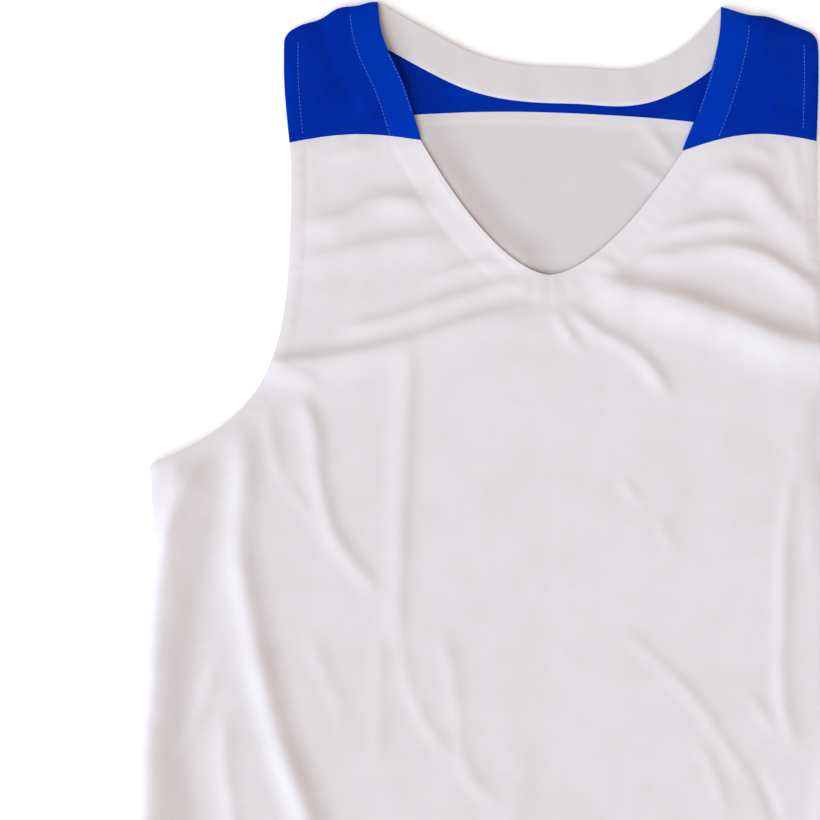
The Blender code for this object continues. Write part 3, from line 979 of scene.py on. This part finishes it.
class Finish(Enum):
    """The finishes of the pieces; each value makes one material."""

    WHITE_KNIT = Knit(
        "white_knit", (0.790, 0.755, 0.780, 1.0), (0.755, 0.716, 0.735, 1.0), (0.800, 0.768, 0.792, 1.0),
        gloss=0.2,
    )
    BLUE_KNIT = Knit(
        "royal_blue_knit", (0.0, 0.030, 0.400, 1.0), (0.0, 0.020, 0.310, 1.0), (0.0, 0.033, 0.420, 1.0),
        roughness=0.8, gloss=0.02, sheen=0.0, depth=0.035,
    )
    # Knit of the back, painted darker than the front's white: painted shade, for the back lies lower, under
    # the front and in its shadow.
    INNER_KNIT = Knit(
        "inner_knit_painted_shade", (0.715, 0.682, 0.700, 1.0), (0.690, 0.652, 0.668, 1.0), (0.730, 0.700, 0.718, 1.0),
    )
    FACING_KNIT = Knit(
        "facing_knit", (0.745, 0.705, 0.720, 1.0), (0.705, 0.662, 0.672, 1.0), (0.745, 0.712, 0.725, 1.0),
        roughness=0.88, wale=0.9, course=0.7,
    )
    WHITE_THREAD = Thread("white_thread", (0.84, 0.81, 0.83, 1.0), (0.76, 0.73, 0.75, 1.0))
    BLUE_THREAD = Thread("light_blue_thread", (0.10, 0.24, 0.68, 1.0), (0.02, 0.09, 0.50, 1.0))
    TABLETOP = Tabletop()

    @property
    def material(self) -> bpy.types.Material:
        """The material, made at its first use."""
        return bpy.data.materials.get(self.value.name) or self.value.build()


# ---------------------------------------------------------------- making pieces

SHARP_DEGREES = 50.0    # faces that meet at more than this keep a sharp edge between them


def grid_quads(rows: int, columns: int, first: int = 0) -> Array:
    """Quads of a grid whose points run row by row, anticlockwise from above when x and y both rise.

    Args:
        rows: Number of rows.
        columns: Number of columns.
        first: Number of the grid's first point.

    Returns:
        Four point numbers a row.
    """
    corner = first + np.arange(rows - 1)[:, None] * columns + np.arange(columns - 1)[None]
    corner = corner.reshape(-1)
    return np.column_stack([corner, corner + 1, corner + columns + 1, corner + columns])


def flattened(grid: Array) -> tuple[Array, Array]:
    """Plan points of a grid, row by row, and its quads."""
    return grid.reshape(-1, 2), grid_quads(*grid.shape[:2])


def merged(plan: Array, quads: Array) -> tuple[Array, Array]:
    """Make plan points that stand at one place into one, and renumber the quads."""
    unique, renumber = np.unique(np.round(plan, 3), axis=0, return_inverse=True)
    return unique, renumber.ravel()[quads]


def rim_edges(quads: Array, count: int) -> Array:
    """Directed edges that only one quad has.

    Args:
        quads: Four point numbers a row, equal ones where a quad is a triangle.
        count: Number of points.

    Returns:
        Two point numbers a row.
    """
    edges = np.vstack([quads[:, [k, (k + 1) % 4]] for k in range(4)])
    edges = edges[edges[:, 0] != edges[:, 1]]
    forward = edges[:, 0] * count + edges[:, 1]
    backward = edges[:, 1] * count + edges[:, 0]
    return edges[~np.isin(forward, backward)]


def add_object(name: str, points: Array, faces: list, finish: Finish) -> bpy.types.Object:
    """Make a smooth-shaded mesh object of points in millimetres.

    Args:
        name: Name of the object and its mesh.
        points: Points as rows of x, y and z.
        faces: Point numbers of each face.
        finish: Its finish.

    Returns:
        The object, linked to the scene.
    """
    mesh = bpy.data.meshes.new(name)
    mesh.from_pydata((points * MM).tolist(), [], faces)
    mesh.materials.append(finish.material)
    mesh.shade_smooth()
    made = bpy.data.objects.new(name, mesh)
    bpy.context.scene.collection.objects.link(made)
    return made


def cloth(name: str, plan: Array, quads: Array, upper: Array, doubled: Array,
          finish: Finish) -> bpy.types.Object:
    """Make one piece of cloth: its upper side, the same a wall lower, and a rim between them.

    Args:
        name: Name of the piece.
        plan: Plan points.
        quads: Quads over them, anticlockwise from above.
        upper: Height of the upper side at each point.
        doubled: 1 at the points where the cloth lies double, down to 0.
        finish: Its finish.

    Returns:
        The closed piece.
    """
    count = len(plan)
    points = np.vstack([np.column_stack([plan, upper]), np.column_stack([plan, upper - WALL])])
    rim = rim_edges(quads, count)
    sides = np.column_stack([rim[:, 0], rim[:, 0] + count, rim[:, 1] + count, rim[:, 1]])
    faces = np.vstack([quads, quads[:, ::-1] + count, sides]).tolist()
    faces = [list(dict.fromkeys(face)) for face in faces]
    made = add_object(name, points, faces, finish)
    made.data.set_sharp_from_angle(angle=np.radians(SHARP_DEGREES))
    layer = made.data.attributes.new("doubled", "FLOAT", "POINT")
    layer.data.foreach_set("value", np.tile(doubled, 2).astype(np.float32))
    return made


def plan_area(plan: Array, quads: Array) -> float:
    """Area of the plan in square metres: half the cross product of each quad's diagonals."""
    a, b = plan[quads[:, 2]] - plan[quads[:, 0]], plan[quads[:, 3]] - plan[quads[:, 1]]
    return float(np.abs(a[:, 0] * b[:, 1] - a[:, 1] * b[:, 0]).sum() / 2 * MM * MM)


def declare(piece: bpy.types.Object, node: str, plan: Array, quads: Array,
            stitches: tuple = ()) -> None:
    """Put a piece of cloth, and its stitching, on the root body, and hide the CAD node that it replaces.

    Args:
        piece: The cloth.
        node: The CAD node that it replaces.
        plan: Plan points; the area of the cut is worked out from them but not passed on.
        quads: Quads over them.
        stitches: Stitching that is sewn through it.
    """
    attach(piece, "root")
    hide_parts(node)
    for line in stitches:
        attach(line, "root")
    area = plan_area(plan, quads)


@dataclass(frozen=True)
class Topstitching:
    """Rows of lockstitch: one small rounded lozenge of thread for each stitch.

    Attributes:
        seed: Seed of the small differences between stitches.
        pitch: Distance from one stitch to the next.
        length: Length of the thread that shows.
        width: Its width.
        proud: Height of its middle line over the cloth.
    """

    seed: int
    pitch: float = 3.3
    length: float = 2.5
    width: float = 0.4
    proud: float = -0.1

    BOW = 0.06              # rise of a stitch's middle over its ends
    TURN_SPREAD = 0.05      # radians
    LENGTH_SPREAD = (0.86, 1.08)
    SIDES = 6
    RINGS = ((-1.0, 0.0), (-0.72, 0.8), (0.0, 1.0), (0.72, 0.8), (1.0, 0.0))

    def build(self, name: str, routes: list[Array], height: Height, finish: Finish) -> bpy.types.Object:
        """Sew rows along plan routes.

        Each stitch is a lathed profile along the route's direction, half sunk in the cloth.

        Args:
            name: Name of the joined piece.
            routes: Plan polylines.
            height: Height of the cloth at plan points.
            finish: The thread.

        Returns:
            One mesh of all the stitches.
        """
        middles, turns = [], []
        for route in routes:
            reach = lengths(route)
            at = np.arange(self.pitch / 2, reach[-1], self.pitch)
            spot, ahead, behind = (
                np.column_stack([np.interp(at + shift, reach, route[:, k]) for k in range(2)])
                for shift in (0.0, 0.5, -0.5)
            )
            middles.append(spot)
            turns.append(np.arctan2(*(ahead - behind).T[::-1]))
        middle, turn = np.vstack(middles), np.concatenate(turns)
        draw = np.random.default_rng(self.seed)
        turn = turn + draw.normal(0.0, self.TURN_SPREAD, len(turn))
        half = self.length / 2 * draw.uniform(*self.LENGTH_SPREAD, len(turn))
        angle = np.arange(self.SIDES) * 2 * np.pi / self.SIDES
        ring = np.array([(u, r * np.cos(a), r * np.sin(a)) for u, r in self.RINGS[1:-1] for a in angle])
        local = np.vstack([[(-1.0, 0.0, 0.0)], ring, [(1.0, 0.0, 0.0)]])
        along = local[None, :, 0] * half[:, None]
        aside = local[None, :, 1] * self.width / 2
        x = middle[:, :1] + along * np.cos(turn)[:, None] - aside * np.sin(turn)[:, None]
        y = middle[:, 1:] + along * np.sin(turn)[:, None] + aside * np.cos(turn)[:, None]
        low, level, high = (
            height(middle[:, 0] + s * half * np.cos(turn), middle[:, 1] + s * half * np.sin(turn))[:, None]
            for s in (-1.0, 0.0, 1.0)
        )
        u, upwards = local[None, :, 0], local[None, :, 2] * self.width / 2
        z = level + (high - low) / 2 * u + self.BOW * (1 - u ** 2) + upwards + self.proud
        points = np.stack([x, y, z], axis=2).reshape(-1, 3)
        return add_object(name, points, self.faces(len(middle), len(local)), finish)

    def faces(self, count: int, size: int) -> list:
        """Faces of every stitch: a fan at each end and quads between the rings.

        Args:
            count: Number of stitches.
            size: Number of points in each.

        Returns:
            Point numbers of each face.
        """
        n, rings = self.SIDES, len(self.RINGS) - 2
        k = np.arange(n)
        after = (k + 1) % n
        starts = [1 + r * n for r in range(rings)]
        start = np.column_stack([np.zeros(n, int), 1 + after, 1 + k])
        end = np.column_stack([np.full(n, size - 1), starts[-1] + k, starts[-1] + after])
        quads = np.vstack([
            np.column_stack([a + k, a + after, b + after, b + k]) for a, b in zip(starts, starts[1:])
        ])
        shift = np.arange(count)[:, None, None] * size
        fans = (np.vstack([start, end])[None] + shift).reshape(-1, 3).tolist()
        return fans + (quads[None] + shift).reshape(-1, 4).tolist()


# ---------------------------------------------------------------- sub-assemblies

@dataclass
class Back:
    """The back, its yoke and the facing of its neck."""

    columns: int = 170
    levels: tuple[tuple[float, int], ...] = ((HEM, 0), (-180.0, 26), (UNDERARM, 42), (200.0, 30), (301.0, 44))
    corner: float = 303.0           # level at which the top corners' places across are read
    bend_from: float = 0.75         # share of the length from which rows bend up to the seam
    yoke_rows: int = 26
    yoke_corner: float = 183.0      # distance from the centre at which the seam's end levels are read
    neck_points: int = 97
    seam_groove: float = 0.25
    groove_half_width: float = 1.6
    facing_rows: int = 28
    facing_columns: int = 120
    edge_points: int = 61
    row_power: float = 1.6          # rows stand closer at the facing's lower edge
    facing_stitch: float = 2.2
    facing_rise: float = 0.28       # clearance over the yoke, and the waves' depth
    facing_puff: float = 0.5
    facing_roll: float = 1.4

    def panel(self) -> bpy.types.Object:
        """The back below its yoke: rows ruled from side to side that bend up to the seam."""
        levels, highest = rows_between(*self.levels), self.levels[-1][0]
        share = (levels - HEM) / (highest - HEM)
        tops = [float(back_seam_y(np.array(half.outer_x(self.corner)))) for half in HALVES]
        stretch = ease((levels - UNDERARM) / (highest - UNDERARM))
        runs = [half.at_outer(levels + stretch * (top - highest)) for half, top in zip(HALVES, tops)]
        s = np.linspace(0.0, 1.0, self.columns + 1)[None, :, None]
        grid = runs[0][:, None] * (1 - s) + runs[1][:, None] * s
        bend = ease((share - self.bend_from) / (1 - self.bend_from))[:, None]
        grid[:, :, 1] += bend * (back_seam_y(grid[:, :, 0]) - (tops[0] * (1 - s) + tops[1] * s)[:, :, 0])
        plan, quads = flattened(grid)
        x, y = plan.T
        # The back gets the darker knit: painted shade of the front that lies over it.
        piece = cloth("back_cloth", plan, quads, BACK_LIE.height(x, y), BACK_LIE.under_seam(x, y),
                      Finish.INNER_KNIT)
        declare(piece, "back_panel", plan, quads)
        return piece

    def yoke(self) -> bpy.types.Object:
        """The back yoke: a Coons grid from its seam to the two shoulders and the neckline."""
        shoulders = [half.shoulder_edge() for half in HALVES]
        neck = neckline(self.neck_points)
        top = np.vstack([shoulders[0], neck[1:-1], shoulders[1][::-1]])
        reach = lengths(top) / lengths(top)[-1]
        ends = [half.outer_x(back_seam_y(np.array(half.sign * self.yoke_corner))) for half in HALVES]
        x = ends[0] + (ends[1] - ends[0]) * reach
        bottom = np.column_stack([x, back_seam_y(x)])
        rise = np.linspace(0.0, 1.0, self.yoke_rows + 1)
        runs = [
            half.at_outer(seam[1] + (half.tip_low - seam[1]) * rise)
            for half, seam in zip(HALVES, (bottom[0], bottom[-1]))
        ]
        grid = coons(bottom, top, runs[0], runs[1])
        plan, quads = flattened(grid)
        x, y = plan.T
        groove = self.seam_groove * bell(y - back_seam_y(x), self.groove_half_width)
        upper = BACK_LIE.lift(x, y) + WALL + ALLOWANCE_RISE - groove
        piece = cloth("back_yoke_cloth", plan, quads, upper, np.zeros(len(plan)), Finish.BLUE_KNIT)
        declare(piece, "back_yoke", plan, quads)
        return piece

    def facing_height(self, x: Array, y: Array) -> Array:
        """Upper side of the facing: over the yoke, with slow waves, rounded down at its lower edge.

        Args:
            x: Plan places.
            y: Plan places.

        Returns:
            Height there.
        """
        wave = 0.14 * np.sin(x / 9.0) * np.sin(x / 31.0 + 1.0) + 0.08 * np.sin(x / 4.3 + y / 17.0)
        lower = moved_in(neckline(self.edge_points), -FACING_WIDTH)
        puff = self.facing_puff * (1 - np.exp(-np.abs(nearest(lower, x, y)[0]) / self.facing_roll))
        return BACK_LIE.lift(x, y) + 2 * WALL + ALLOWANCE_RISE + self.facing_rise + wave + puff

    def facing(self, on: bpy.types.Object) -> bpy.types.Object:
        """The facing: a ruled band from the neckline to the same line moved in by its width.

        Args:
            on: The piece that it lies on; not used.

        Returns:
            The piece.
        """
        edge = neckline(self.facing_columns + 1)
        inner = moved_in(edge, -FACING_WIDTH)
        t = np.linspace(0.0, 1.0, self.facing_rows + 1)[:, None, None] ** self.row_power
        grid = inner[None] * (1 - t) + edge[None] * t
        plan, quads = flattened(grid)
        piece = cloth("back_neck_facing_cloth", plan, quads, self.facing_height(*plan.T),
                      np.zeros(len(plan)), Finish.FACING_KNIT)
        rows = [moved_in(edge, self.facing_stitch - FACING_WIDTH)]
        sewn = Topstitching(seed=41).build("facing_stitches", rows, self.facing_height, Finish.WHITE_THREAD)
        declare(piece, "back_neck_facing", plan, quads, (sewn,))
        return piece


@dataclass
class Front:
    """The front panel with the V, and its two shoulder yokes."""

    columns: int = 96
    levels: tuple[tuple[float, int], ...] = ((HEM, 0), (-186.0, 36), (UNDERARM, 100), (V_TIP, 54))
    neck_rows: int = 50
    neck_power: float = 1.4         # rows stand closer at the tip of the V
    yoke_rows: int = 54
    yoke_columns: int = 54
    tip_power: float = 1.3          # columns stand closer at the shoulder tip
    lowest_stitch: float = 60.0
    hem_stitches: tuple[float, float] = (22.0, 26.0)
    hem_stitch_inset: float = 3.0
    edge_stitches: tuple[float, float] = (318.0, 357.0)
    edge_points: int = 30
    edge_inset: float = 1.0

    def half_plan(self, half: HalfCut) -> Array:
        """Plan grid of half the front, whose rows bend up to the yoke seam.

        Args:
            half: The half of the cut.

        Returns:
            Points as rows x columns x 2, from the hem up and from -X to +X.
        """
        below, rise = rows_between(*self.levels), np.linspace(0.0, 1.0, self.neck_rows + 1)
        outer, inner = (
            np.concatenate([below[:-1], V_TIP + (last - V_TIP) * rise ** self.neck_power])
            for last in (half.seam_outer_y, half.seam_inner_y)
        )
        s = np.linspace(0.0, 1.0, self.columns + 1)[None, :, None]
        grid = half.at_outer(outer)[:, None] * (1 - s) + half.at_neck(inner)[:, None] * s
        reach = ease((outer - V_TIP) / (half.seam_outer_y - V_TIP))[:, None]
        grid[:, :, 1] += reach * half.seam_bow * np.sin(np.pi * s[:, :, 0])
        return grid if half.sign < 0 else grid[:, ::-1]

    def band_rows(self, half: HalfCut, low: float, high: float) -> list[Array]:
        """Stitch rows beside one half's neck and armhole edges between two levels.

        Args:
            half: The half of the cut.
            low: Lowest level.
            high: Highest level.

        Returns:
            Plan polylines.
        """
        neck = moved_in(half.neck_edge(), -half.sign * FrontLie.BANDS["neck"])
        neck = neck[half.sign * neck[:, 0] > 0.8]
        armhole = moved_in(half.armhole(), half.sign * FrontLie.BANDS["armhole"])
        rows = []
        for row in (neck, armhole[armhole[:, 1] > UNDERARM + 4.0]):
            top = np.minimum(high, half.shoulder(row[:, 0]) - 2.5)
            kept = row[(row[:, 1] > low) & (row[:, 1] < top)]
            if len(kept) > 2:
                rows.append(kept)
        return rows

    def panel(self, on: bpy.types.Object) -> bpy.types.Object:
        """The front panel: two half grids that share the centre line below the V.

        Args:
            on: The piece that it lies on; not used.

        Returns:
            The piece.
        """
        grids = [self.half_plan(half) for half in HALVES]
        rows, columns = grids[0].shape[:2]
        plan = np.vstack([grid.reshape(-1, 2) for grid in grids])
        quads = np.vstack([grid_quads(rows, columns), grid_quads(rows, columns, rows * columns)])
        plan, quads = merged(plan, quads)
        x, y = plan.T
        piece = cloth("front_cloth", plan, quads, FRONT_LIE.height(x, y), FRONT_LIE.doubled(x, y),
                      Finish.WHITE_KNIT)
        sewn = []
        for half in HALVES:
            sewn += self.band_rows(half, self.lowest_stitch, min(half.seam_outer_y, half.seam_inner_y) - 1.0)
        width = HalfCut.HEM_HALF - self.hem_stitch_inset
        sewn += [np.array([(-width, HEM + up), (width, HEM + up)]) for up in self.hem_stitches]
        stitches = Topstitching(seed=42).build("front_stitches", sewn, FRONT_LIE.height, Finish.WHITE_THREAD)
        declare(piece, "front_panel", plan, quads, (stitches,))
        return piece

    def yoke(self, half: HalfCut, name: str, on: bpy.types.Object) -> bpy.types.Object:
        """One front yoke: a Coons grid between its seam, the shoulder, the armhole and the neck.

        Args:
            half: The half of the cut.
            name: Its CAD node, which also begins the names of its pieces.
            on: The piece that it lies on; not used.

        Returns:
            The piece.
        """
        seam = half.yoke_seam(self.yoke_columns + 1)
        t = np.linspace(0.0, 1.0, self.yoke_rows + 1)
        outer = half.at_outer(seam[0][1] + (half.tip_low - seam[0][1]) * t)
        inner = half.at_neck(seam[-1][1] + (half.neck_point_y - seam[-1][1]) * t)
        across = np.linspace(0.0, 1.0, self.yoke_columns + 1) ** self.tip_power
        top_x = outer[-1][0] + (inner[-1][0] - outer[-1][0]) * across
        top = np.column_stack([top_x, half.shoulder(top_x)])
        top[[0, -1]] = outer[-1], inner[-1]
        outer[0], inner[0] = seam[0], seam[-1]
        grid = coons(seam, top, outer, inner)
        grid = grid if half.sign < 0 else grid[:, ::-1]
        plan, quads = flattened(grid)
        x, y = plan.T
        piece = cloth(name + "_cloth", plan, quads, FRONT_LIE.height(x, y), FRONT_LIE.doubled(x, y),
                      Finish.BLUE_KNIT)
        rows = self.band_rows(half, max(half.seam_outer_y, half.seam_inner_y) + 3.0, half.neck_point_y)
        edge = half.at_neck(np.linspace(*self.edge_stitches, self.edge_points))
        rows.append(moved_in(edge, -half.sign * self.edge_inset))
        stitches = Topstitching(seed=43, pitch=2.7, length=2.1, width=0.5, proud=0.05).build(
            name + "_stitches", rows, FRONT_LIE.height, Finish.BLUE_THREAD
        )
        declare(piece, name, plan, quads, (stitches,))
        return piece


@dataclass
class Studio:
    """The floor, the lights and the camera, in metres."""

    floor_half: float = 3.0
    floor_drop: float = 0.0006
    sun_strength: float = 4.2
    sun_spread_degrees: float = 84.0
    sun_towards: tuple[float, float, float] = (1.0, 0.85, -0.62)
    sun_colour: tuple[float, float, float] = (0.72, 0.87, 1.0)
    fill_colour: Colour = (1.0, 0.835, 0.70, 1.0)
    fill_strength: float = 0.545
    lens: float = 85.0
    sensor: float = 36.0
    middle: tuple[float, float] = (-0.0973, 0.1094)
    camera_height: float = 1.359

    def build(self) -> None:
        """Make the floor, one soft sun from the lower left, an even fill and the camera overhead."""
        size = self.floor_half / MM
        corners = np.array([(-size, -size), (size, -size), (size, size), (-size, size)])
        points = np.column_stack([corners, np.full(4, -self.floor_drop / MM)])
        add_object("tabletop", points, [[0, 1, 2, 3]], Finish.TABLETOP)
        sun = bpy.data.lights.new("window", "SUN")
        sun.energy = self.sun_strength
        sun.angle = np.radians(self.sun_spread_degrees)
        sun.color = self.sun_colour
        lamp = bpy.data.objects.new("window", sun)
        lamp.rotation_euler = Vector(self.sun_towards).to_track_quat("-Z", "Y").to_euler()
        bpy.context.scene.collection.objects.link(lamp)
        world = bpy.data.worlds.new("room")
        world.use_nodes = True
        world.node_tree.nodes["Background"].inputs["Color"].default_value = self.fill_colour
        world.node_tree.nodes["Background"].inputs["Strength"].default_value = self.fill_strength
        bpy.context.scene.world = world
        bpy.context.scene.view_settings.view_transform = "Standard"
        camera = bpy.data.cameras.new("overhead")
        camera.lens, camera.sensor_width = self.lens, self.sensor
        eye = bpy.data.objects.new("overhead", camera)
        eye.location = (*self.middle, self.camera_height)
        bpy.context.scene.collection.objects.link(eye)
        bpy.context.scene.camera = eye
        log.info("studio: floor, window light, fill and overhead camera")


def main() -> None:
    """Build the studio and the jersey, from the surface up."""
    logging.basicConfig(level=logging.INFO, format="%(name)s %(message)s")
    Studio().build()
    back, front = Back(), Front()
    panel = back.panel()
    yoke = back.yoke()
    back.facing(yoke)
    front.panel(panel)
    front.yoke(MINUS_X, "front_yoke_right", yoke)
    front.yoke(PLUS_X, "front_yoke_left", yoke)


if __name__ == "__main__":
    main()
